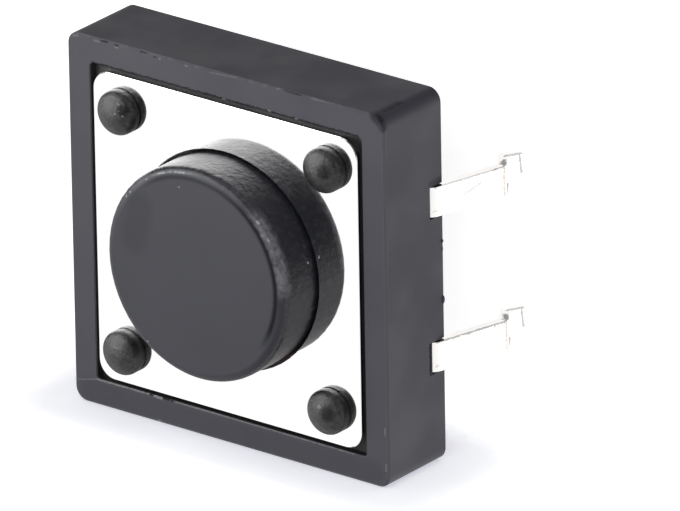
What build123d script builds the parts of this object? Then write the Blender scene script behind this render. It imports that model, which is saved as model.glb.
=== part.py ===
from build123d import *

import os
from math import acos, degrees, radians, sqrt, tan

# A 12 mm square tactile switch for a circuit board, in millimetres.
# The origin is the centre of the face that sits on the board, +Z points the way
# the plunger stands, and the four solder legs reach below z = 0.
# The legs leave the housing on its -X and +X sides.

# Housing: one moulding with a square recess, a round chamber and four posts
body_side = 12.0
body_height = 2.8
body_corner = 0.42
rim_width = 0.86
rim_cut = 0.06
rim_inner_cut = 0.03
base_cut = 0.04
recess_corner = 0.12

# Cover plate: a square of thin sheet that lies in the recess, a little proud of the rim
plate_gap = 0.14
plate_thickness = 0.3
plate_proud = 0.05
plate_corner = 0.6
plate_edge_cut = 0.03
plunger_hole_gap = 0.08

# Posts of the housing, their ends formed over the plate into round heads
post_radius = 0.55
post_inset = 1.1
post_root = 0.4
post_hole_gap = 0.03
head_radius = 0.71
head_height = 0.6
head_ball = 1.05
head_side_round = 0.25
head_foot_cut = 0.05

# Plunger
plunger_radius = 3.4
plunger_top = 4.4
plunger_edge = 0.28
plunger_wall = 0.85
plunger_roof = 0.8
travel = 0.3
flange_lip = 0.75
flange_thickness = 0.5
flange_play = 0.02
flange_gap = 0.15
ear_width = 1.4
ear_reach = 0.5
ear_gap = 0.1
boss_radius = 1.2
boss_cut = 0.2
boss_play = 0.02
stop_gap = 0.18

# Snap dome, whose rim stands on the pads of the ring strip
dome_radius = 3.5
dome_thickness = 0.08
dome_gap = 0.08

# Contact strips: flat inside the base, with pads that stand just above the floor
strip_bottom = 0.3
strip_thickness = 0.3
floor_skin = 0.12
pad_proud = 0.03
ring_border = 0.12
ring_end_gap = 1.0
pad_width = 1.6
tongue_width = 1.0
centre_pad_radius = 0.9
centre_pad_cut = 0.1

# Legs: bent down in a groove of the wall, splayed to a crest, turned back to the tip
leg_pitch = 5.0
leg_width = 0.95
leg_set_in = 0.12
leg_bend_inside = 0.05
leg_splay = 15.0
crest_depth = 2.15
crest_radius = 0.3
kink_depth = 2.85
tip_depth = 3.6
tip_span = 12.2
tip_width = 0.62
groove_depth = 0.3
groove_gap = 0.04

# Small holes in the underside, where pins of the mould held the strips
pin_hole_radius = 0.4
pin_hole_inset = 2.4

# Places and sizes that follow from the ones above
recess_side = body_side - 2 * rim_width
plate_side = recess_side - 2 * plate_gap
plate_top = body_height + plate_proud
plate_bottom = plate_top - plate_thickness
post_offset = plate_side / 2 - post_inset
flange_radius = plunger_radius + flange_lip
flange_top = plate_bottom - flange_play
flange_bottom = flange_top - flange_thickness
chamber_radius = flange_radius + flange_gap
chamber_floor = flange_bottom - travel - stop_gap
strip_top = strip_bottom + strip_thickness
pocket_floor = strip_top + floor_skin
pad_top = pocket_floor + pad_proud
pocket_radius = dome_radius + dome_gap
dome_top = pad_top + travel + dome_thickness
boss_bottom = dome_top + boss_play
strip_middle = strip_bottom + strip_thickness / 2


def rounded_block(side, corner, bottom, top):
    """An upright square block with rounded corners, from bottom to top."""
    outline = RectangleRounded(side, side, corner)
    return Pos(0, 0, bottom) * extrude(outline, top - bottom)


def disc(radius, bottom, top):
    """An upright round disc on the Z axis."""
    return Pos(0, 0, bottom) * extrude(Circle(radius), top - bottom)


def four_corners(offset):
    """The places at the same offset from both centre lines, one in each corner."""
    return [Pos(x, y) for x in (-offset, offset) for y in (-offset, offset)]


def make_post():
    """One post with its heat-formed head, standing on the Z axis."""
    crown_z = plate_top + head_height
    shoulder = degrees(acos(head_radius / head_ball))
    crown = CenterArc((0, crown_z - head_ball), head_ball, shoulder, 90 - shoulder)
    side = Line(crown @ 0, (head_radius, plate_top))
    head = make_face([crown, side, Line(side @ 1, (0, plate_top)), Line((0, plate_top), crown @ 1)])
    head = fillet(head.vertices().group_by(Axis.X)[-1].sort_by(Axis.Y)[-1], head_side_round)
    head = chamfer(head.vertices().group_by(Axis.X)[-1].sort_by(Axis.Y)[0], head_foot_cut)
    return revolve(Plane.XZ * head, Axis.Z) + disc(post_radius, plate_bottom - post_root, plate_top)


def make_groove(x, y):
    """The open groove in the wall where one leg bends down."""
    groove = Rectangle(2 * groove_depth, leg_width + 2 * groove_gap)
    return Pos(x * body_side / 2, y) * extrude(groove, strip_top + groove_gap)


def make_housing(strips):
    """The moulded housing, with the strips' own shapes taken out of its base."""
    body = rounded_block(body_side, body_corner, 0, body_height)
    body = chamfer(body.faces().sort_by(Axis.Z)[-1].edges(), rim_cut)
    body = chamfer(body.faces().sort_by(Axis.Z)[0].edges(), base_cut)
    body -= rounded_block(recess_side, recess_corner, plate_bottom, body_height)
    mouth = body.faces().sort_by(Axis.Z)[-1].inner_wires()[0].edges()
    body = chamfer(mouth, rim_inner_cut)
    body -= disc(chamber_radius, chamber_floor, plate_bottom)
    body -= disc(pocket_radius, pocket_floor, chamber_floor)
    slot_reach = flange_radius + ear_reach + ear_gap
    slot = Rectangle(ear_width + 2 * ear_gap, 2 * slot_reach)
    body -= Pos(0, 0, chamber_floor) * extrude(slot, plate_bottom - chamber_floor)
    for place in four_corners(post_offset):
        body += place * make_post()
    for strip in strips:
        body -= strip
    for x in (-1, 1):
        for y in (-leg_pitch / 2, leg_pitch / 2):
            body -= make_groove(x, y)
            place = Pos(x * (body_side / 2 - pin_hole_inset), y)
            body -= place * disc(pin_hole_radius, 0, strip_bottom)
    return body


def make_cover_plate():
    """The pressed cover plate with its five holes."""
    plate = rounded_block(plate_side, plate_corner, plate_bottom, plate_top)
    plate -= disc(plunger_radius + plunger_hole_gap, plate_bottom, plate_top)
    plate = chamfer(plate.faces().sort_by(Axis.Z)[-1].edges(), plate_edge_cut)
    for place in four_corners(post_offset):
        plate -= place * disc(post_radius + post_hole_gap, plate_bottom, plate_top)
    return plate


def make_plunger():
    """The round button, hollow from below, with its flange, ears and centre boss."""
    plunger = disc(plunger_radius, flange_bottom, plunger_top)
    plunger = fillet(plunger.faces().sort_by(Axis.Z)[-1].edges(), plunger_edge)
    plunger += disc(flange_radius, flange_bottom, flange_top)
    ears = Rectangle(ear_width, 2 * (flange_radius + ear_reach))
    plunger += Pos(0, 0, flange_bottom) * extrude(ears, flange_thickness)
    roof = plunger_top - plunger_roof
    plunger -= disc(plunger_radius - plunger_wall, flange_bottom, roof)
    boss = disc(boss_radius, boss_bottom, roof)
    boss = chamfer(boss.faces().sort_by(Axis.Z)[0].edges(), boss_cut)
    return plunger + boss


def dome_rim_width():
    """How far the flat seat of the dome's rim reaches in from its edge."""
    rise = dome_top - pad_top
    outer = (dome_radius**2 + rise**2) / (2 * rise)
    inner = outer - dome_thickness
    return dome_radius - sqrt(inner**2 - (outer - rise) ** 2)


def make_snap_dome():
    """The thin sprung dome: two arcs about one centre, cut flat where it is seated."""
    rise = dome_top - pad_top
    outer = (dome_radius**2 + rise**2) / (2 * rise)
    centre = dome_top - outer
    shell = Pos(0, 0, centre) * (Sphere(outer) - Sphere(outer - dome_thickness))
    return shell & disc(dome_radius + dome_gap, pad_top, dome_top + dome_gap)


def make_leg(y):
    """One leg on the +X side, as a strip swept along its bent centre line."""
    wall = body_side / 2
    start = (wall - leg_width, y, strip_middle)
    bend_x = wall - leg_set_in
    crest_x = bend_x + (strip_middle + crest_depth) * tan(radians(leg_splay))
    corners = [
        start,
        (bend_x, y, strip_middle),
        (crest_x, y, -crest_depth),
        (tip_span / 2, y, -kink_depth),
        (tip_span / 2, y, -tip_depth),
    ]
    bend = leg_bend_inside + strip_thickness / 2
    path = FilletPolyline(corners, radius=[bend, crest_radius, crest_radius])
    section = Plane(start, x_dir=(0, 1, 0), z_dir=(1, 0, 0)) * Rectangle(leg_width, strip_thickness)
    return sweep(section, path=path) - leg_tip_trim(y)


def leg_tip_trim(y):
    """What the two slanted cuts take off the sides of a leg's tip."""
    margin = strip_thickness
    slope = (leg_width - tip_width) / 2 / (tip_depth - kink_depth)
    end = -tip_depth - margin
    trim = []
    for side in (-1, 1):
        outline = Polyline(
            (y + side * leg_width / 2, -kink_depth),
            (y + side * (leg_width / 2 + margin), -kink_depth),
            (y + side * (leg_width / 2 + margin), end),
            (y + side * (tip_width / 2 - slope * margin), end),
            close=True,
        )
        trim.append(extrude(Plane.YZ * make_face(outline), body_side))
    return trim


def strip_with_legs(y, shape):
    """A flat strip through the base at y, as wide as its legs, with a leg at each end."""
    bar = Pos(0, y) * Rectangle(body_side - leg_width, leg_width)
    sheet = Pos(0, 0, strip_bottom) * extrude(bar + shape, strip_thickness)
    leg = make_leg(y)
    return sheet + leg + mirror(leg, about=Plane.YZ)


def make_ring_strip():
    """The strip with a part ring, whose three pads carry the rim of the dome."""
    y = -leg_pitch / 2
    pad_inner = dome_radius - dome_rim_width() - dome_gap
    outer = pocket_radius + ring_border
    inner = pad_inner - ring_border
    ring_end = leg_pitch / 2 - leg_width / 2 - ring_end_gap
    below = Pos(0, ring_end - outer) * Rectangle(2 * outer, 2 * outer)
    strip = strip_with_legs(y, (Circle(outer) - Circle(inner)) & below)
    band = Circle(dome_radius) - Circle(pad_inner)
    sides = band & Rectangle(2 * outer, pad_width)
    front = band & Pos(0, -outer / 2) * Rectangle(pad_width, outer)
    return strip + Pos(0, 0, strip_top) * extrude(sides + front, pad_top - strip_top)


def make_centre_strip():
    """The strip with a tongue that ends in the round pad under the dome's crown."""
    y = leg_pitch / 2
    tongue = Pos(0, y / 2) * Rectangle(tongue_width, y)
    strip = strip_with_legs(y, tongue + Circle(centre_pad_radius + ring_border))
    pad = disc(centre_pad_radius, strip_top, pad_top)
    return strip + chamfer(pad.faces().sort_by(Axis.Z)[-1].edges(), centre_pad_cut)


ring_strip = make_ring_strip()
centre_strip = make_centre_strip()
nodes = {
    "housing": make_housing([ring_strip, centre_strip]),
    "cover_plate": make_cover_plate(),
    "plunger": make_plunger(),
    "snap_dome": make_snap_dome(),
    "ring_strip": ring_strip,
    "centre_strip": centre_strip,
}

os.makedirs("parts", exist_ok=True)
for name, part in nodes.items():
    export_step(part, f"parts/{name}.step")
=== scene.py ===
from math import cos, pi, radians, sin

import bmesh
import bpy
from mathutils import Matrix, Vector


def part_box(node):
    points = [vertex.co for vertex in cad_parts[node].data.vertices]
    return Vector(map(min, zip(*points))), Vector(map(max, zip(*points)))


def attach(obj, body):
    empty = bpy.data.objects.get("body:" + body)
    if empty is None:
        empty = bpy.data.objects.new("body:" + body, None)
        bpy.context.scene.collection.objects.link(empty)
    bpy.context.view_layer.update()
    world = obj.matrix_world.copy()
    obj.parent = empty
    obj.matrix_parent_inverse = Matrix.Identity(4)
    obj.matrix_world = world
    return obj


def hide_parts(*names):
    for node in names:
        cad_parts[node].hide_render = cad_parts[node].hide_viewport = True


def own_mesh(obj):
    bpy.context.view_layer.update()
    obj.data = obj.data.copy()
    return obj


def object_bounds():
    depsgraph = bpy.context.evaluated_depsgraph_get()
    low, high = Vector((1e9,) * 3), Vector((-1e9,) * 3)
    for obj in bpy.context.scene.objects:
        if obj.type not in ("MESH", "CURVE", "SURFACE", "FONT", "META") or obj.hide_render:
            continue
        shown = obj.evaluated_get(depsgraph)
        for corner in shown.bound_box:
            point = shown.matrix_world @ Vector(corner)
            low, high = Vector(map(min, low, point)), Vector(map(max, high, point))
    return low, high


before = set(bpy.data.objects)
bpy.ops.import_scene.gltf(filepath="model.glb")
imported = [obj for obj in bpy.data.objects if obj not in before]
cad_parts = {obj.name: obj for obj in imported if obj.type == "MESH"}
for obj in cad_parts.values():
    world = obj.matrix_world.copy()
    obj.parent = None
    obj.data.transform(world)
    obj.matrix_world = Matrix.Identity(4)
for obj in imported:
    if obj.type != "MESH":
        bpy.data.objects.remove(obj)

CAD_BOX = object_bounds()
MM = 0.001

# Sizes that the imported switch's boxes can't tell
PLATE_PROUD = 0.05 * MM
PLATE_GAP = 0.14 * MM
POST_INSET = 1.1 * MM
PLUNGER_RADIUS = 3.4 * MM
LEG_ROW = 2.5 * MM

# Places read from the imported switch, and those that follow from them
HOUSING_LOW, HOUSING_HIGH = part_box("housing")
PLATE_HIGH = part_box("cover_plate")[1]
PLUNGER_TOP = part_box("plunger")[1].z
BODY_HALF = HOUSING_HIGH.x
PLATE_TOP = PLATE_HIGH.z
RIM_TOP = PLATE_TOP - PLATE_PROUD
MOUTH_HALF = PLATE_HIGH.x + PLATE_GAP
POST_OFFSET = PLATE_HIGH.x - POST_INSET
FLOOR_Z = CAD_BOX[0].z

# The photograph's view: a long lens, aimed a little below the switch's middle
LENS_MM = 900
SENSOR_MM = 36
AIM = Vector((1.46489, -0.72604, -0.76729)) * MM
TURN = radians(38.191)
LIFT = radians(22.630)
ROLL = radians(-0.983)
CAMERA_DISTANCE = 510.393 * MM

# Plain studio light: the room's own level, the level that gloss mirrors, and its least
ROOM_LIGHT = 0.5
WHITE_CARD = 1.0
DARK_CARD = 0.1
# Two softboxes: direction, distance, width and brightness
LEFT_SOFTBOX = ((-0.62, 0.34, 0.71), 55 * MM, 60 * MM, 3.5)
FRONT_FILL = ((0.35, 0.30, 0.88), 90 * MM, 90 * MM, 1.2)
# Lighter and darker parts of the room that gloss mirrors: direction, full to, gone by, change
ROOM_CARDS = [
    ((0.40, 0.55, 0.73), 20, 48, -1.0),
    ((0.62, 0.05, 0.78), 14, 28, -0.5),
    ((0.02, -0.69, 0.72), 12, 32, -0.5),
    ((0.53, 0.44, -0.73), 12, 35, -1.0),
    ((0.06, 0.68, -0.73), 12, 36, -0.8),
    ((-0.57, 0.39, -0.73), 32, 60, -0.90),
    ((-0.58, 0.22, -0.79), 13, 22, 0.95),
    ((0.60, -0.40, -0.70), 20, 50, 0.55),
    ((-0.73, 0.57, 0.20), 15, 35, -0.5),
    ((-0.57, -0.39, 0.73), 20, 35, 0.08),
]

# Finishes, as linear colours
# Nicks, dark marks and painted shade
NICK_AND_SHADE_BLACK = (0.004, 0.004, 0.004, 1)
# Painted shade in the recess
RECESS_SHADE_BLACK = (0.008, 0.008, 0.008, 1)
HOUSING_BLACK = (0.0278, 0.0283, 0.0395, 1)
HOUSING_GREY = (0.0350, 0.0355, 0.0490, 1)
HEAD_BLACK = (0.010, 0.009, 0.009, 1)
HEAD_GREY = (0.034, 0.032, 0.032, 1)
# Scuffs, and a painted highlight along the +X edge
SCUFF_AND_EDGE_LIGHT_GREY = (0.12, 0.12, 0.13, 1)
SPECK_GREY = (0.14, 0.14, 0.14, 1)
# Nicks, and painted highlights on edges and post heads
NICK_AND_HIGHLIGHT_GREY = (0.24, 0.24, 0.25, 1)
BUTTON_BLACK = (0.0165, 0.0175, 0.0265, 1)
BUTTON_GREY = (0.0225, 0.023, 0.034, 1)
# Painted shade on the button's side
BUTTON_SIDE_SHADE = (0.006, 0.006, 0.009, 1)
# Random lighter tone and painted sheen on the button's side
BUTTON_HAZE_AND_SHEEN = (0.055, 0.055, 0.06, 1)
BUTTON_RUBBED = (0.15, 0.15, 0.165, 1)
# A reddish band low on one side of the button
BUTTON_REDDISH = (0.06, 0.022, 0.017, 1)
# Nicks, and the painted glint on the button's edge
BUTTON_NICK_AND_GLINT = (0.42, 0.42, 0.43, 1)
PLATE_GREY = (0.94, 0.94, 0.94, 1)
PLATE_WHITE = (0.98, 0.98, 0.98, 1)
TIN_GREY = (0.95, 0.94, 0.93, 1)
TIN_WHITE = (0.98, 0.975, 0.965, 1)
TIN_WARM = (0.98, 0.945, 0.915, 1)
FOLD_BROWN = (0.41, 0.33, 0.28, 1)
SHEARED_GREY = (0.14, 0.14, 0.14, 1)
SPRING_DARK = (0.62, 0.61, 0.59, 1)
SPRING_LIGHT = (0.7, 0.69, 0.67, 1)

# Stage: colour and glow of the floor and of the side board, and the board's own sizes
FLOOR_TONES = ((0.85, 0.85, 0.83, 1), (0.78, 0.78, 0.79, 1))
FLOOR_REACH = 600 * MM
BOARD_TONES = ((0.85, 0.86, 0.80, 1), (0.45, 0.45, 0.52, 1))
BOARD_GAP = 0.02 * MM
BOARD_MARGIN = 5 * MM
BOARD_TOP = 9 * MM
BOARD_FULL_TO = 0.7 * MM
BOARD_GONE_BY = 3.4 * MM

# Fineness of the waver along the sides of worn places
WAVER_SCALE = 16000.0
# Marks wider than this (mm) have soft even sides, and narrower ones ragged sides
WIDE_MARK = 0.19
# Worn places of the housing, with painted shade and painted highlights among them: start and end (mm),
# width (mm), light (above 0) or dark (below 0)
HOUSING_WEAR_AND_PAINTED_LIGHT = [
    # Along the rim's +Y edge
    ((-5.75, 5.86, 2.80), (-5.60, 5.91, 2.80), 0.057, 0.33),
    ((-4.95, 5.90, 2.80), (-4.75, 5.90, 2.80), 0.050, 0.30),
    ((-4.70, 5.95, 2.79), (-4.45, 5.96, 2.79), 0.034, -0.77),
    ((-4.16, 5.94, 2.80), (-4.02, 5.95, 2.80), 0.041, -0.77),
    ((-4.15, 5.87, 2.80), (-4.05, 5.87, 2.80), 0.040, 0.44),
    ((-3.20, 5.95, 2.79), (-2.95, 5.96, 2.79), 0.030, -0.77),
    ((-2.66, 5.91, 2.80), (-2.60, 5.91, 2.80), 0.038, -0.77),
    ((-2.46, 5.89, 2.80), (-2.42, 5.89, 2.80), 0.040, 0.55),
    ((-1.47, 5.90, 2.80), (-1.42, 5.90, 2.80), 0.040, 0.50),
    ((-0.55, 5.91, 2.80), (0.40, 5.96, 2.79), 0.034, 0.26),
    ((1.98, 5.98, 2.77), (2.05, 5.98, 2.77), 0.040, 0.33),
    ((2.25, 5.98, 2.77), (2.87, 5.97, 2.78), 0.034, -0.59),
    ((3.30, 5.98, 2.77), (3.90, 5.97, 2.78), 0.040, 0.25),
    # The mouth of the recess, on its +Y side with a painted shadow line all along it, and then on its
    # -Y side with painted highlights along its worn edge
    ((-5.02, 5.16, 2.80), (5.02, 5.16, 2.80), 0.070, -0.8),
    ((-0.06, 5.17, 2.80), (0.02, 5.17, 2.80), 0.030, 0.8),
    ((1.65, 5.20, 2.80), (1.73, 5.20, 2.80), 0.030, 0.6),
    ((2.68, 5.18, 2.80), (2.74, 5.18, 2.80), 0.030, 0.7),
    ((-5.16, -5.17, 2.80), (-3.15, -5.16, 2.80), 0.035, 0.7),
    ((-3.10, -5.15, 2.80), (-2.98, -5.15, 2.80), 0.050, -0.9),
    ((-2.95, -5.17, 2.80), (-2.65, -5.18, 2.80), 0.050, 0.9),
    ((-2.60, -5.15, 2.80), (-2.25, -5.15, 2.80), 0.045, -0.9),
    ((-2.14, -5.17, 2.80), (4.70, -5.16, 2.80), 0.026, 0.6),
    # The rim's face and its other edges: a painted highlight on the crease at its lower left corner,
    # and painted shade along its lower side, darker towards the bottom
    ((-5.92, -5.36, 2.80), (-5.14, -5.17, 2.80), 0.030, 0.3),
    ((-2.78, -5.93, 2.80), (-2.70, -5.93, 2.80), 0.035, 0.7),
    ((5.86, -4.05, 2.80), (5.86, -4.28, 2.80), 0.030, 0.5),
    ((-5.40, -5.60, 2.80), (5.40, -5.60, 2.80), 0.600, -0.18),
    # Painted shade on the corner between the +X and +Y walls
    ((5.56, 5.98, 2.78), (5.62, 6.00, 1.60), 0.160, -0.4),
    ((5.64, 5.93, 2.77), (5.80, 5.82, 2.77), 0.220, -0.6),
    ((5.84, 5.78, 2.77), (5.94, 5.64, 2.77), 0.200, -0.5),
    # The +X edge, and painted shade on the wall above a leg, by the gap of its groove
    ((5.88, -5.21, 2.80), (5.88, -5.41, 2.80), 0.030, 0.5),
    ((6.00, -2.98, 0.71), (6.00, -2.02, 0.71), 0.080, -0.9),
    # The post heads: painted shade in the dark patches, painted highlights in the light specks
    ((-3.50, 4.16, 3.34), (-3.48, 4.14, 3.33), 0.260, -0.6),
    ((-3.36, -3.52, 3.20), (-3.28, -3.72, 3.13), 0.280, -0.4),
    ((-3.60, 4.12, 3.40), (-3.56, 4.20, 3.39), 0.035, 0.9),
    ((-3.72, 4.02, 3.43), (-3.69, 4.03, 3.43), 0.035, 0.8),
    ((-3.48, 4.00, 3.36), (-3.46, 3.97, 3.36), 0.035, 0.8),
    ((-3.70, 4.33, 3.34), (-3.62, 4.31, 3.34), 0.040, 0.6),
    ((4.12, 4.02, 3.40), (4.14, 3.98, 3.40), 0.300, -0.6),
    ((3.84, -3.63, 3.42), (3.86, -3.60, 3.42), 0.080, 0.8),
    ((4.12, -3.76, 3.41), (4.14, -3.80, 3.41), 0.320, -0.6),
    ((-3.96, -3.62, 3.41), (-3.82, -3.60, 3.41), 0.040, 0.6),
    # Painted shade on the +X wall beside a leg
    ((6.00, 3.10, 0.55), (6.00, 3.12, 0.05), 0.200, -0.35),
]
# Worn places of the button, in the same columns
PLUNGER_MARKS = [
    ((-0.55, 2.75, 4.40), (-0.50, 2.75, 4.40), 0.030, 0.8),
    ((-2.43, 2.13, 4.38), (-2.41, 2.15, 4.38), 0.040, 0.7),
    ((-2.59, 1.95, 4.38), (-2.57, 1.97, 4.38), 0.040, 0.6),
    ((-1.82, 2.70, 4.38), (-1.78, 2.71, 4.38), 0.040, 0.6),
    ((-1.86, -2.56, 4.40), (-1.84, -2.56, 4.40), 0.030, 0.8),
    ((3.31, 0.83, 3.14), (3.31, 0.80, 3.12), 0.035, 0.9),
    ((3.33, 0.60, 4.31), (3.33, 0.57, 4.31), 0.050, 0.5),
    ((2.76, 1.84, 4.33), (2.80, 1.78, 4.33), 0.050, 0.5),
    ((2.34, 2.31, 4.33), (2.42, 2.25, 4.33), 0.050, 0.7),
    # Two soft smudges on its face
    ((-2.30, 0.70, 4.40), (-2.05, 1.75, 4.40), 0.700, -0.16),
    ((-2.10, 1.10, 4.40), (-1.90, 1.60, 4.40), 0.250, -0.14),
]
# Dark edges (below 0) and tinted folds (above 0) of a leg, x outwards, y from its own middle line
LEG_LINES = [
    ((6.04, 0.480, 0.40), (6.70, 0.480, -2.02), 0.060, -0.55),
    ((6.60, 0.480, -1.66), (6.70, 0.480, -2.02), 0.065, -0.75),
    ((6.70, 0.480, -2.02), (6.60, 0.480, -2.34), 0.070, -0.8),
    ((6.58, 0.480, -2.22), (6.42, 0.480, -2.46), 0.120, -0.9),
    ((6.24, 0.475, -2.74), (6.25, 0.315, -3.60), 0.075, -0.7),
    ((6.25, 0.320, -3.44), (6.25, -0.320, -3.54), 0.080, -0.70),
    ((6.735, 0.380, -2.12), (6.735, -0.440, -2.12), 0.110, 0.75),
    ((6.62, 0.340, -1.75), (6.69, 0.200, -2.02), 0.120, 0.4),
    ((6.10, 0.420, 0.42), (6.13, -0.430, 0.30), 0.060, 0.37),
    ((6.02, -0.300, 0.52), (6.16, -0.260, 0.10), 0.060, 0.44),
    ((6.05, 0.200, 0.50), (6.15, 0.240, 0.15), 0.050, 0.37),
]
# Dark streaks of single legs, in the switch's own frame
LEG_STREAKS = [
    ((6.04, -2.02, 0.40), (6.70, -2.02, -2.02), 0.070, -0.75),
    ((6.32, 2.47, -0.61), (6.48, 2.69, -1.23), 0.070, -0.45),
]
# Bits of flash along the foot of the +X wall: middle and half size (mm)
FLASH = [
    ((5.975, 1.13, 0.07), (0.07, 0.07, 0.06)),
    ((5.970, 0.86, 0.07), (0.05, 0.12, 0.06)),
    ((5.970, -0.76, 0.06), (0.09, 0.16, 0.06)),
]


def add_camera():
    """The camera of the photograph, with the switch's +Y side up in the picture."""
    back = Vector((sin(TURN) * cos(LIFT), sin(LIFT), cos(TURN) * cos(LIFT)))
    level = Vector((0, 1, 0)).cross(back).normalized()
    upright = back.cross(level)
    right = cos(ROLL) * level + sin(ROLL) * upright
    up = back.cross(right)
    data = bpy.data.cameras.new("camera")
    data.lens = LENS_MM
    data.sensor_width = SENSOR_MM
    data.clip_start = 10 * MM
    data.clip_end = 4000 * MM
    camera = bpy.data.objects.new("camera", data)
    turned = Matrix((right, up, back)).transposed().to_4x4()
    camera.matrix_world = Matrix.Translation(AIM + back * CAMERA_DISTANCE) @ turned
    bpy.context.scene.collection.objects.link(camera)
    bpy.context.scene.camera = camera


def add_softbox(name, direction, distance, width, brightness):
    """A square soft light that faces the switch; brightness 1 looks white."""
    data = bpy.data.lights.new(name, "AREA")
    data.shape = "SQUARE"
    data.size = width
    data.energy = brightness * pi * width**2
    lamp = bpy.data.objects.new(name, data)
    toward = Vector(direction).normalized()
    lamp.location = toward * distance
    lamp.rotation_euler = toward.to_track_quat("Z", "Y").to_euler()
    lamp.visible_camera = False
    bpy.context.scene.collection.objects.link(lamp)
    return lamp


class Graph:
    """A node tree with short calls for the nodes that these materials use."""

    def __init__(self, tree):
        self.tree = tree

    def node(self, kind, inputs=(), **settings):
        made = self.tree.nodes.new(kind)
        for key, value in settings.items():
            setattr(made, key, value)
        for key, value in dict(inputs).items():
            self.feed(made.inputs[key], value)
        return made

    def feed(self, socket, value):
        if isinstance(value, bpy.types.NodeSocket):
            self.tree.links.new(value, socket)
        else:
            socket.default_value = value

    def group(self, group, **inputs):
        """The outputs of a node group whose inputs are fed by name."""
        return self.node("ShaderNodeGroup", inputs, node_tree=group).outputs

    def math(self, operation, first, second=0.0, clamp=False):
        inputs = {0: first, 1: second}
        return self.node("ShaderNodeMath", inputs, operation=operation, use_clamp=clamp).outputs[0]

    def times(self, *values):
        product = values[0]
        for value in values[1:]:
            product = self.math("MULTIPLY", product, value)
        return product

    def length(self, *values):
        """The root of the sum of squares."""
        total = self.times(values[0], values[0])
        for value in values[1:]:
            total = self.math("ADD", total, self.times(value, value))
        return self.math("SQRT", total)

    def vector_math(self, operation, first, second=(0, 0, 0)):
        made = self.node("ShaderNodeVectorMath", {0: first, 1: second}, operation=operation)
        scalar = operation in ("DISTANCE", "DOT_PRODUCT", "LENGTH")
        return made.outputs["Value" if scalar else "Vector"]

    def scaled(self, vector, factor):
        inputs = {0: vector, "Scale": factor}
        return self.node("ShaderNodeVectorMath", inputs, operation="SCALE").outputs["Vector"]

    def ramp(self, value, low, high, start=0.0, end=1.0):
        """A smooth change from start to end while value goes from low to high."""
        inputs = {"Value": value, "From Min": low, "From Max": high, "To Min": start, "To Max": end}
        made = self.node("ShaderNodeMapRange", inputs, interpolation_type="SMOOTHSTEP")
        return made.outputs["Result"]

    def arc(self, angle, start, end, soft):
        """1 from start to end, in degrees round the Z axis, and gone soft degrees beyond."""
        rise = self.ramp(angle, radians(start - soft), radians(start))
        fall = self.ramp(angle, radians(end), radians(end + soft), 1.0, 0.0)
        return self.times(rise, fall)

    def mix(self, share, first, second):
        """A colour between two, where share 0 gives the first."""
        inputs = {0: share, 6: first, 7: second}
        return self.node("ShaderNodeMix", inputs, data_type="RGBA").outputs[2]

    def blend(self, share, first, second):
        """A number between two, where share 0 gives the first."""
        return self.node("ShaderNodeMix", {0: share, 2: first, 3: second}).outputs[0]

    def noise(self, place, scale, detail=3.0, roughness=0.5):
        inputs = {"Vector": place, "Scale": scale, "Detail": detail, "Roughness": roughness}
        return self.node("ShaderNodeTexNoise", inputs).outputs["Fac"]

    def object_place(self):
        return self.node("ShaderNodeTexCoord").outputs["Object"]

    def split(self, vector):
        return self.node("ShaderNodeSeparateXYZ", {0: vector}).outputs

    def joined(self, x, y, z):
        return self.node("ShaderNodeCombineXYZ", {0: x, 1: y, 2: z}).outputs[0]

    def seen_rays(self):
        """1 for rays that come from the camera, a mirror or clear glass."""
        path = self.node("ShaderNodeLightPath").outputs
        seen = self.math("MAXIMUM", path["Is Camera Ray"], path["Is Glossy Ray"])
        return self.math("MAXIMUM", seen, path["Is Transmission Ray"])


def light_room():
    """A pale room, white where it is seen, with the softer and darker parts that gloss mirrors."""
    world = bpy.data.worlds.new("pale room")
    world.use_nodes = True
    world.node_tree.nodes.clear()
    graph = Graph(world.node_tree)
    direction = graph.node("ShaderNodeTexCoord").outputs["Generated"]
    mirrored = WHITE_CARD
    for toward, full_to, gone_by, change in ROOM_CARDS:
        near = graph.vector_math("DOT_PRODUCT", direction, Vector(toward).normalized())
        shade = graph.ramp(near, cos(radians(gone_by)), cos(radians(full_to)), 0.0, change)
        mirrored = graph.math("ADD", mirrored, shade)
    mirrored = graph.math("MAXIMUM", mirrored, DARK_CARD)
    plain = graph.blend(graph.seen_rays(), ROOM_LIGHT, WHITE_CARD)
    glossy = graph.node("ShaderNodeLightPath").outputs["Is Glossy Ray"]
    strength = graph.blend(glossy, plain, mirrored)
    sky = graph.node("ShaderNodeBackground", {"Color": (1, 1, 1, 1), "Strength": strength})
    graph.node("ShaderNodeOutputWorld", {"Surface": sky.outputs[0]})
    bpy.context.scene.world = world
    gloss = add_softbox("left softbox", *LEFT_SOFTBOX)
    gloss.visible_diffuse = False
    fill = add_softbox("front fill", *FRONT_FILL)
    fill.visible_glossy = False


def empty_material(name):
    """A node material without nodes, and its graph."""
    material = bpy.data.materials.new(name)
    material.use_nodes = True
    material.node_tree.nodes.clear()
    return material, Graph(material.node_tree)


def new_material(name):
    """A node material with a Principled shader at its output, its graph and that shader."""
    material, graph = empty_material(name)
    shader = graph.node("ShaderNodeBsdfPrincipled")
    graph.node("ShaderNodeOutputMaterial", {"Surface": shader.outputs[0]})
    return material, graph, shader


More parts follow.
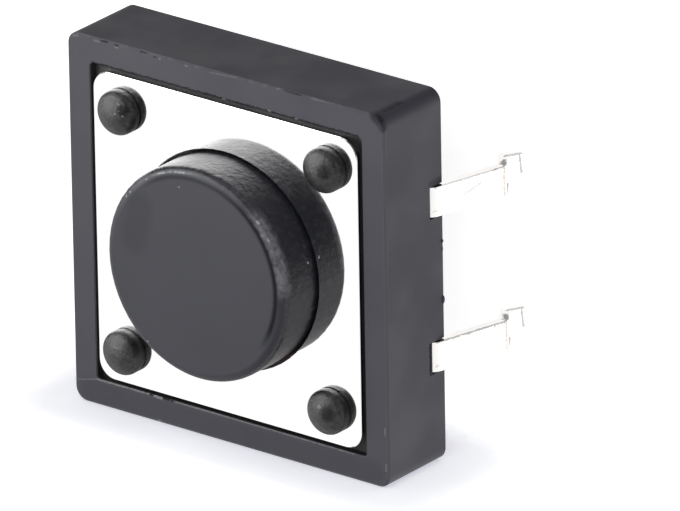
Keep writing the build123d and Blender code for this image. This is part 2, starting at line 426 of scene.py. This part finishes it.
def new_group(name, inputs, outputs):
    """A node group with named inputs and outputs, its graph, and the sockets at its two ends."""
    group = bpy.data.node_groups.new(name, "ShaderNodeTree")
    for socket in inputs.split():
        kind = "NodeSocketVector" if socket in ("Place", "Start", "End") else "NodeSocketFloat"
        group.interface.new_socket(socket, in_out="INPUT", socket_type=kind)
    for socket in outputs.split():
        group.interface.new_socket(socket, in_out="OUTPUT", socket_type="NodeSocketFloat")
    graph = Graph(group)
    given = graph.node("NodeGroupInput").outputs
    result = graph.node("NodeGroupOutput").inputs
    return group, graph, given, result


def surface_grain_group():
    """Fine grain and soft mottling of a surface."""
    group, graph, given, result = new_group("surface grain", "Place Scale", "Height Mottle")
    graph.feed(result["Height"], graph.noise(given["Place"], given["Scale"], 4.0, 0.6))
    coarse = graph.times(given["Scale"], 0.06)
    graph.feed(result["Mottle"], graph.noise(given["Place"], coarse, 3.0, 0.5))
    return group


def scratch_group():
    """One scratch or nick between two points, with a side that wavers, as a mask."""
    group, graph, given, result = new_group("scratch", "Place Waver Start End Width", "Mask")
    along = graph.vector_math("SUBTRACT", given["End"], given["Start"])
    off = graph.vector_math("SUBTRACT", given["Place"], given["Start"])
    reach = graph.vector_math("DOT_PRODUCT", along, along)
    share = graph.math("DIVIDE", graph.vector_math("DOT_PRODUCT", off, along), reach, clamp=True)
    apart = graph.vector_math("DISTANCE", off, graph.scaled(along, share))
    waver = graph.times(graph.math("SUBTRACT", given["Waver"], 0.5), given["Width"], 2.2)
    side = graph.math("ADD", apart, waver)
    inner = graph.times(given["Width"], 0.35)
    graph.feed(result["Mask"], graph.ramp(side, inner, given["Width"], 1.0, 0.0))
    return group


def square_edge_group():
    """How near a place is to a square edge at one height, as a mask."""
    group, graph, given, result = new_group("square edge", "Place Half Level Width", "Mask")
    x, y, z = graph.split(given["Place"])
    side = graph.math("MAXIMUM", graph.math("ABSOLUTE", x), graph.math("ABSOLUTE", y))
    out = graph.math("SUBTRACT", side, given["Half"])
    above = graph.math("SUBTRACT", z, given["Level"])
    graph.feed(result["Mask"], graph.ramp(graph.length(out, above), 0.0, given["Width"], 1.0, 0.0))
    return group


def ring_group():
    """How near a place is to a circle about a centre, seen along Z, as a mask."""
    group, graph, given, result = new_group("ring", "Place Centre_X Centre_Y Radius Width", "Mask")
    x, y, z = graph.split(given["Place"])
    along_x = graph.math("SUBTRACT", x, given["Centre_X"])
    along_y = graph.math("SUBTRACT", y, given["Centre_Y"])
    out = graph.length(along_x, along_y)
    apart = graph.math("ABSOLUTE", graph.math("SUBTRACT", out, given["Radius"]))
    graph.feed(result["Mask"], graph.ramp(apart, 0.0, given["Width"], 1.0, 0.0))
    return group


def speck_group():
    """Scattered fine specks as a mask."""
    group, graph, given, result = new_group("specks", "Place Scale Size Share", "Mask")
    cells = graph.node("ShaderNodeTexVoronoi", {"Vector": given["Place"], "Scale": given["Scale"]})
    near = graph.ramp(cells.outputs["Distance"], 0.0, given["Size"], 1.0, 0.0)
    chosen = graph.math("LESS_THAN", graph.split(cells.outputs["Color"])[0], given["Share"])
    graph.feed(result["Mask"], graph.times(near, chosen))
    return group


def worn_marks(graph, groups, place, waver, marks):
    """The light mask and the dark mask of a list of marks."""
    masks = {"light": 0.0, "dark": 0.0}
    for start, end, width, shade in marks:
        inputs = {"Start": Vector(start) * MM, "End": Vector(end) * MM, "Width": width * MM}
        inputs["Waver"] = waver if width < WIDE_MARK else 0.5
        mark = graph.group(groups["scratch"], Place=place, **inputs)["Mask"]
        kind = "light" if shade > 0 else "dark"
        masks[kind] = graph.math("MAXIMUM", masks[kind], graph.times(mark, abs(shade)))
    return masks["light"], masks["dark"]


def painted_recess_shade(graph, x, y, z):
    """A mask of painted shade on the housing's inner walls, from above its floor to just under the
    rim.
    """
    apart = graph.math("MAXIMUM", graph.math("ABSOLUTE", x), graph.math("ABSOLUTE", y))
    inside = graph.ramp(apart, MOUTH_HALF + 0.01 * MM, MOUTH_HALF + 0.03 * MM, 1.0, 0.0)
    above_floor = graph.ramp(z, 0.5 * MM, 0.6 * MM)
    under_rim = graph.ramp(z, RIM_TOP - 0.05 * MM, RIM_TOP - 0.02 * MM, 1.0, 0.0)
    return graph.times(inside, graph.times(above_floor, under_rim))


def from_post(graph, side):
    """How far a place is along X or Y from the nearest post's middle."""
    return graph.math("SUBTRACT", side, graph.times(graph.math("SIGN", side), POST_OFFSET))


def painted_head_foot_shade(graph, head, z, post_x, post_y):
    """A mask of painted shade at the foot of a post's head, on its side away from the light."""
    foot = graph.ramp(z, PLATE_TOP + 0.10 * MM, PLATE_TOP + 0.38 * MM, 0.6, 0.0)
    leaning = graph.math("SUBTRACT", graph.times(post_x, 0.87), graph.times(post_y, 0.5))
    return graph.times(graph.times(head, foot), graph.ramp(leaning, 0.1 * MM, 0.6 * MM))


def black_plastic(groups):
    """The housing: satin black plastic with scuffed edges, glossier on the formed post heads, with
    painted shade in its recess, under the heads and at listed places, and painted highlights on its +X
    edge and at listed places.
    """
    material, graph, shader = new_material("black moulded plastic")
    place = graph.object_place()
    x, y, z = graph.split(place)
    grain = graph.group(groups["grain"], Place=place, Scale=9000.0)
    waver = graph.noise(place, WAVER_SCALE, 2.0)
    light, dark = worn_marks(graph, groups, place, waver, HOUSING_WEAR_AND_PAINTED_LIGHT)

    edge = {"Half": BODY_HALF - 0.03 * MM, "Level": RIM_TOP - 0.03 * MM, "Width": 0.10 * MM}
    near_edge = graph.group(groups["square edge"], Place=place, **edge)["Mask"]
    broken = graph.ramp(graph.noise(place, 2200.0, 4.0, 0.6), 0.45, 0.65)
    # Scuffs broken along the rim's edge, and all along the +X edge a painted highlight
    painted_right_edge_light = graph.ramp(x, BODY_HALF - 0.12 * MM, BODY_HALF - 0.06 * MM, 0.0, 0.45)
    rubbed = graph.times(near_edge, graph.math("MAXIMUM", graph.times(broken, 0.35), painted_right_edge_light))
    specks = graph.group(groups["specks"], Place=place, Scale=1500.0, Size=0.05, Share=0.12)["Mask"]

    colour = graph.mix(grain["Mottle"], HOUSING_BLACK, HOUSING_GREY)
    colour = graph.mix(rubbed, colour, SCUFF_AND_EDGE_LIGHT_GREY)
    colour = graph.mix(graph.times(specks, 0.5), colour, SPECK_GREY)
    # Nicks, and painted highlights on edges and post heads
    colour = graph.mix(light, colour, NICK_AND_HIGHLIGHT_GREY)
    # Painted shade in the recess
    colour = graph.mix(painted_recess_shade(graph, x, y, z), colour, RECESS_SHADE_BLACK)

    head = graph.ramp(z, PLATE_TOP, PLATE_TOP + 0.02 * MM)
    pitted = graph.ramp(graph.noise(place, 7000.0, 3.0, 0.7), 0.35, 0.65)
    cap = graph.mix(pitted, HEAD_BLACK, HEAD_GREY)
    colour = graph.mix(graph.math("SUBTRACT", head, light, clamp=True), colour, cap)
    post_x = from_post(graph, x)
    post_y = from_post(graph, y)
    # Painted shade at the foot of the post heads, joined to the dark marks
    dark = graph.math("MAXIMUM", dark, painted_head_foot_shade(graph, head, z, post_x, post_y))
    dark = graph.math("SUBTRACT", dark, light, clamp=True)
    # Nicks and painted shade
    colour = graph.mix(dark, colour, NICK_AND_SHADE_BLACK)
    graph.feed(shader.inputs["Base Color"], colour)
    # Dark marks and painted shade turn metallic over a near black colour, so they lose their gloss as
    # well
    graph.feed(shader.inputs["Metallic"], dark)

    satin = graph.ramp(grain["Mottle"], 0.3, 0.7, 0.5, 0.62)
    graph.feed(shader.inputs["Roughness"], graph.blend(head, satin, 0.38))
    ripple = graph.math("SINE", graph.times(graph.length(post_x, post_y), 2 * pi / (0.11 * MM)))
    pits = graph.times(graph.noise(place, 7000.0, 4.0, 0.7), 16.0)
    head_height = graph.math("ADD", graph.times(ripple, 0.4), pits)
    height = graph.blend(head, grain["Height"], head_height)
    bump = graph.node("ShaderNodeBump", {"Strength": 0.35, "Distance": 5e-6, "Height": height})
    graph.feed(shader.inputs["Normal"], bump.outputs[0])
    return material


def button_masks(graph, groups, place, coarse):
    """Masks of the button: painted dark line and painted glint at its top edge, rubbed band, reddish
    band, and all but its top.
    """
    x, y, z = graph.split(place)
    angle = graph.math("ARCTAN2", y, x)
    on_top = graph.ramp(z, PLUNGER_TOP - 0.10 * MM, PLUNGER_TOP - 0.03 * MM)

    # A painted dark line, standing for the dark reflection in the rounded top edge
    painted_line_circle = {"Centre_Y": 0.09 * MM, "Radius": PLUNGER_RADIUS - 0.34 * MM, "Width": 0.17 * MM}
    line = graph.group(groups["ring"], Place=place, Centre_X=0.0, **painted_line_circle)["Mask"]
    fading = graph.ramp(angle, radians(40), radians(80), 0.9, 0.6)
    line = graph.times(line, on_top, graph.arc(angle, -18, 112, 22), fading)

    # A painted glint on the rounded top edge
    circle = {"Centre_Y": 0.0, "Radius": PLUNGER_RADIUS - 0.14 * MM, "Width": 0.05 * MM}
    rim = graph.group(groups["ring"], Place=place, Centre_X=0.0, **circle)["Mask"]
    at_edge = graph.ramp(z, PLUNGER_TOP - 0.16 * MM, PLUNGER_TOP - 0.10 * MM)
    patchy = graph.ramp(coarse, 0.36, 0.66, 0.15, 0.75)
    glint = graph.times(rim, at_edge, graph.arc(angle, 96, 112, 10), patchy)

    rise = graph.ramp(z, PLUNGER_TOP - 0.50 * MM, PLUNGER_TOP - 0.12 * MM)
    reach = graph.ramp(graph.length(x, y), PLUNGER_RADIUS - 0.30 * MM, PLUNGER_RADIUS - 0.20 * MM)
    band = graph.times(rise, reach)
    strong = graph.arc(angle, 8, 44, 10)
    faint = graph.times(graph.arc(angle, 40, 84, 14), 0.12)
    grainy = graph.ramp(coarse, 0.34, 0.66, 0.35, 1.0)
    rubbed = graph.times(band, graph.math("MAXIMUM", strong, faint), grainy)

    # A reddish band low on one side, next to the plate
    low = graph.ramp(z, 2.95 * MM, 3.15 * MM, 0.7, 0.0)
    reddish_band = graph.times(graph.arc(angle, -75, -52, 14), low)
    side = graph.math("SUBTRACT", 1.0, on_top)
    return line, glint, rubbed, reddish_band, side


def plunger_plastic(groups):
    """The button: black plastic, its edge rubbed pale on one side, with a painted dark line beside it,
    a painted glint, painted shade over its side and painted sheen in blotches there.
    """
    material, graph, shader = new_material("black button plastic")
    place = graph.object_place()
    grain = graph.group(groups["grain"], Place=place, Scale=7000.0)
    coarse = graph.noise(place, 5200.0, 3.0, 0.65)
    waver = graph.noise(place, WAVER_SCALE, 2.0)
    light, dark = worn_marks(graph, groups, place, waver, PLUNGER_MARKS)
    line, glint, rubbed, reddish_band, side = button_masks(graph, groups, place, coarse)

    colour = graph.mix(grain["Mottle"], BUTTON_BLACK, BUTTON_GREY)
    # Painted shade darkens the whole side
    colour = graph.mix(graph.times(side, 0.6), colour, BUTTON_SIDE_SHADE)
    # Lighter blotches on the side: random tone and painted sheen
    hazy_sheen = graph.times(side, graph.ramp(coarse, 0.45, 0.75), 0.4)
    colour = graph.mix(hazy_sheen, colour, BUTTON_HAZE_AND_SHEEN)
    colour = graph.mix(rubbed, colour, BUTTON_RUBBED)
    colour = graph.mix(reddish_band, colour, BUTTON_REDDISH)
    # Nicks, and the painted glint
    colour = graph.mix(graph.math("MAXIMUM", light, glint), colour, BUTTON_NICK_AND_GLINT)
    # The painted dark line by the top edge, joined to the dark marks
    dark = graph.math("MAXIMUM", dark, line)
    colour = graph.mix(dark, colour, NICK_AND_SHADE_BLACK)
    graph.feed(shader.inputs["Base Color"], colour)
    # The dark marks and the painted dark line turn metallic over a near black colour, so they lose
    # their gloss as well
    graph.feed(shader.inputs["Metallic"], dark)
    shader.inputs["Specular IOR Level"].default_value = 0.45

    satin = graph.ramp(grain["Mottle"], 0.3, 0.7, 0.37, 0.45)
    graph.feed(shader.inputs["Roughness"], graph.math("SUBTRACT", satin, graph.times(side, 0.02)))
    height = graph.math("ADD", grain["Height"], graph.times(side, coarse, 13.0))
    bump = graph.node("ShaderNodeBump", {"Strength": 0.4, "Distance": 6e-6, "Height": height})
    graph.feed(shader.inputs["Normal"], bump.outputs[0])
    return material


def polished_plate(groups):
    """The cover plate: mirror bright sheet."""
    material, graph, shader = new_material("mirror bright plate")
    grain = graph.group(groups["grain"], Place=graph.object_place(), Scale=3000.0)
    colour = graph.mix(grain["Mottle"], PLATE_GREY, PLATE_WHITE)
    graph.feed(shader.inputs["Base Color"], colour)
    shader.inputs["Metallic"].default_value = 1.0
    graph.feed(shader.inputs["Roughness"], graph.ramp(grain["Mottle"], 0.3, 0.7, 0.03, 0.06))
    return material


def tinned_metal(groups):
    """The strips and legs: bright tin over brass, with dark sheared edges and tinted folds."""
    material, graph, shader = new_material("bright tin plating")
    place = graph.object_place()
    x, y, z = graph.split(place)
    grain = graph.group(groups["grain"], Place=place, Scale=12000.0)
    waver = graph.noise(place, WAVER_SCALE, 2.0)
    beside = graph.math("SUBTRACT", y, graph.times(graph.math("SIGN", y), LEG_ROW))
    about_leg = graph.joined(graph.math("ABSOLUTE", x), beside, z)
    folds, sheared = worn_marks(graph, groups, about_leg, waver, LEG_LINES)
    streaked = worn_marks(graph, groups, place, waver, LEG_STREAKS)[1]
    dark = graph.math("MAXIMUM", sheared, streaked)
    warm = graph.ramp(graph.noise(place, 900.0, 3.0), 0.42, 0.62)
    colour = graph.mix(grain["Mottle"], TIN_GREY, TIN_WHITE)
    colour = graph.mix(warm, colour, TIN_WARM)
    colour = graph.mix(folds, colour, FOLD_BROWN)
    colour = graph.mix(dark, colour, SHEARED_GREY)
    graph.feed(shader.inputs["Base Color"], colour)
    shader.inputs["Metallic"].default_value = 1.0
    graph.feed(shader.inputs["Roughness"], graph.ramp(grain["Mottle"], 0.3, 0.7, 0.12, 0.20))
    return material


def spring_steel(groups):
    """The snap dome: rolled spring steel."""
    material, graph, shader = new_material("rolled spring steel")
    grain = graph.group(groups["grain"], Place=graph.object_place(), Scale=8000.0)
    colour = graph.mix(grain["Mottle"], SPRING_DARK, SPRING_LIGHT)
    graph.feed(shader.inputs["Base Color"], colour)
    shader.inputs["Metallic"].default_value = 1.0
    graph.feed(shader.inputs["Roughness"], graph.ramp(grain["Mottle"], 0.3, 0.7, 0.22, 0.34))
    return material


def dress_node(name, material):
    """Gives a CAD node its material."""
    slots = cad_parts[name].data.materials
    slots.clear()
    slots.append(material)


def new_piece(name, shape, material):
    """A smooth piece of the switch's fixed body, from a finished bmesh."""
    for face in shape.faces:
        face.smooth = True
    mesh = bpy.data.meshes.new(name)
    shape.to_mesh(mesh)
    shape.free()
    mesh.materials.append(material)
    piece = bpy.data.objects.new(name, mesh)
    bpy.context.scene.collection.objects.link(piece)
    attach(piece, "base")
    return piece


def add_spring(material):
    """The snap dome as its own smooth piece, from its node's mesh merged."""
    shape = bmesh.new()
    shape.from_mesh(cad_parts["snap_dome"].data)
    bmesh.ops.remove_doubles(shape, verts=shape.verts, dist=0.001 * MM)
    spring = new_piece("spring", shape, material)
    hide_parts("snap_dome")
    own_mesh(spring)


def add_flash(material):
    """Bits of mould flash at the foot of the +X wall."""
    for index, (middle, half) in enumerate(FLASH, 1):
        shape = bmesh.new()
        bmesh.ops.create_icosphere(shape, subdivisions=2, radius=MM)
        bmesh.ops.scale(shape, vec=half, verts=shape.verts)
        bmesh.ops.translate(shape, vec=Vector(middle) * MM, verts=shape.verts)
        new_piece(f"flash_{index}", shape, material)


def stage_plane(name, corners, material):
    """A flat stage piece through four corners."""
    mesh = bpy.data.meshes.new(name)
    shape = bmesh.new()
    shape.faces.new([shape.verts.new(corner) for corner in corners])
    shape.to_mesh(mesh)
    shape.free()
    mesh.materials.append(material)
    plane = bpy.data.objects.new(name, mesh)
    bpy.context.scene.collection.objects.link(plane)
    return plane


def pale_surface(name, colour, glow):
    """A matt pale surface that is white where it is seen unshaded."""
    material, graph = empty_material(name)
    matt = graph.node("ShaderNodeBsdfDiffuse", {"Color": colour})
    light = graph.node("ShaderNodeEmission", {"Color": glow, "Strength": graph.seen_rays()})
    both = graph.node("ShaderNodeAddShader", {0: matt.outputs[0], 1: light.outputs[0]})
    return material, graph, both.outputs[0]


def show_one_face(graph, surface, share=1.0):
    """Shows a stage surface on its front face alone, by a share that may fade out."""
    front = graph.math("SUBTRACT", 1.0, graph.node("ShaderNodeNewGeometry").outputs["Backfacing"])
    clear = graph.node("ShaderNodeBsdfTransparent")
    inputs = {0: graph.times(front, share), 1: clear.outputs[0], 2: surface}
    mixed = graph.node("ShaderNodeMixShader", inputs)
    graph.node("ShaderNodeOutputMaterial", {"Surface": mixed.outputs[0]})


def add_floor():
    """The pale floor under the leg tips, clear from below so that the underside can be seen."""
    material, graph, surface = pale_surface("pale floor", *FLOOR_TONES)
    show_one_face(graph, surface)
    signs = [(-1, -1), (1, -1), (1, 1), (-1, 1)]
    corners = [(x * FLOOR_REACH, y * FLOOR_REACH, FLOOR_Z) for x, y in signs]
    floor = stage_plane("floor", corners, material)
    floor.visible_glossy = False


def add_side_board():
    """A pale board close beside the -Y wall, seen on its +Y face alone, for the soft shadow there."""
    material, graph, surface = pale_surface("pale board", *BOARD_TONES)
    x, y, z = graph.split(graph.object_place())
    from_middle = graph.math("ABSOLUTE", graph.math("SUBTRACT", z, RIM_TOP / 2))
    past_x = graph.math("SUBTRACT", graph.math("ABSOLUTE", x), BODY_HALF)
    past_z = graph.math("SUBTRACT", from_middle, RIM_TOP / 2)
    past = graph.length(graph.math("MAXIMUM", past_x, 0.0), graph.math("MAXIMUM", past_z, 0.0))
    near = graph.ramp(past, BOARD_FULL_TO, BOARD_GONE_BY, 1.0, 0.0)
    show_one_face(graph, surface, near)
    level = HOUSING_LOW.y - BOARD_GAP
    reach = BODY_HALF + BOARD_MARGIN
    outline = [(-reach, FLOOR_Z), (-reach, BOARD_TOP), (reach, BOARD_TOP), (reach, FLOOR_Z)]
    corners = [(x, level, z) for x, z in outline]
    board = stage_plane("side board", corners, material)
    board.visible_diffuse = False
    board.visible_glossy = False
    board.visible_transmission = False
    board.visible_shadow = False


add_camera()
light_room()
groups = {
    "grain": surface_grain_group(),
    "scratch": scratch_group(),
    "square edge": square_edge_group(),
    "ring": ring_group(),
    "specks": speck_group(),
}
plastic = black_plastic(groups)
tin = tinned_metal(groups)
dress_node("housing", plastic)
dress_node("plunger", plunger_plastic(groups))
dress_node("cover_plate", polished_plate(groups))
dress_node("ring_strip", tin)
dress_node("centre_strip", tin)
add_spring(spring_steel(groups))
add_flash(plastic)
add_floor()
add_side_board()

bpy.context.scene.view_settings.view_transform = "Standard"
